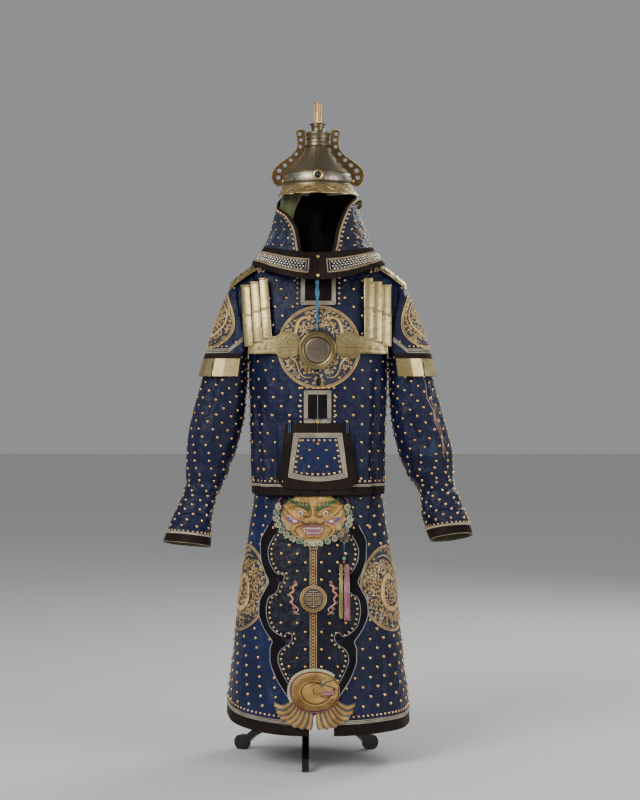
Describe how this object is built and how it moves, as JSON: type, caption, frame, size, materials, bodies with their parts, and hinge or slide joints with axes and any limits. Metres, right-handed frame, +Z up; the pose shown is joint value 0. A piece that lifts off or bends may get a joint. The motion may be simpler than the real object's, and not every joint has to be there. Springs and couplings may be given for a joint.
{
  "type": "ceremonial armour on a dress stand",
  "caption": "Studded satin ceremonial armour with a spired helmet, hood, sleeved coat, shoulder guards, chest plates and long skirt with apron, on a black dress stand.",
  "frame": {"origin": "centre of the bounding box on the floor", "axes": "+Z up, the front faces -Y, +X is the viewer's right"},
  "size_m": [0.918, 0.5096, 1.962],
  "materials": {
    "satin": "deep blue silk satin, padded and studded",
    "velvet": "brown-black silk velvet border",
    "lining": "olive green silk lining",
    "thread": "couched gold thread over padding",
    "gilt": "worn gilt sheet metal",
    "iron": "browned iron with worn gilding",
    "bronze": "dull gilt bronze",
    "cord": "twisted blue silk cord",
    "silk_yellow": "yellow-green silk strands",
    "silk_pink": "faded pink silk strands",
    "lacquer": "glossy black stand"
  },
  "bodies": {
    "root": {"dress_form": "lacquer", "head_post": "lacquer", "stand_column": "lacquer", "stand_leg_front": "lacquer", "stand_leg_right": "lacquer", "stand_leg_left": "lacquer", "skirt_left": "satin", "skirt_hem_left": "velvet", "skirt_right": "satin", "skirt_hem_right": "velvet", "apron": "satin", "mask": "thread", "apron_column": "gilt", "apron_creature": "thread", "pendant": "iron", "tassel_yellow": "silk_yellow", "tassel_pink": "silk_pink", "coat_front_left": "satin", "coat_hem_front_left": "velvet", "coat_front_right": "satin", "coat_hem_front_right": "velvet", "coat_back_left": "satin", "coat_back_right": "satin", "coat_hem_back": "velvet", "sleeve_left_front": "satin", "sleeve_left_back": "satin", "cuff_left": "velvet", "sleeve_right_front": "satin", "sleeve_right_back": "satin", "cuff_right": "velvet", "shoulder_guard_left": "satin", "guard_scales_left": "gilt", "shoulder_guard_right": "satin", "guard_scales_right": "gilt", "shoulder_plate_left": "gilt", "shoulder_plate_right": "gilt", "chest_lame_left_1": "gilt", "chest_lame_left_2": "gilt", "chest_lame_left_3": "gilt", "chest_lame_right_1": "gilt", "chest_lame_right_2": "gilt", "chest_lame_right_3": "gilt", "mirror_wing_left": "gilt", "mirror_wing_right": "gilt", "breast_mirror": "bronze", "mirror_cord": "cord", "front_flap": "velvet", "hood_flap_left": "satin", "collar_left": "velvet", "hood_flap_right": "satin", "collar_right": "velvet", "hood_nape": "satin", "hood_lining": "lining", "helmet_bowl": "iron", "helmet_crest_left": "bronze", "helmet_crest_right": "bronze", "helmet_peak": "gilt", "plume_tube": "gilt"}
  },
  "joints": []
}
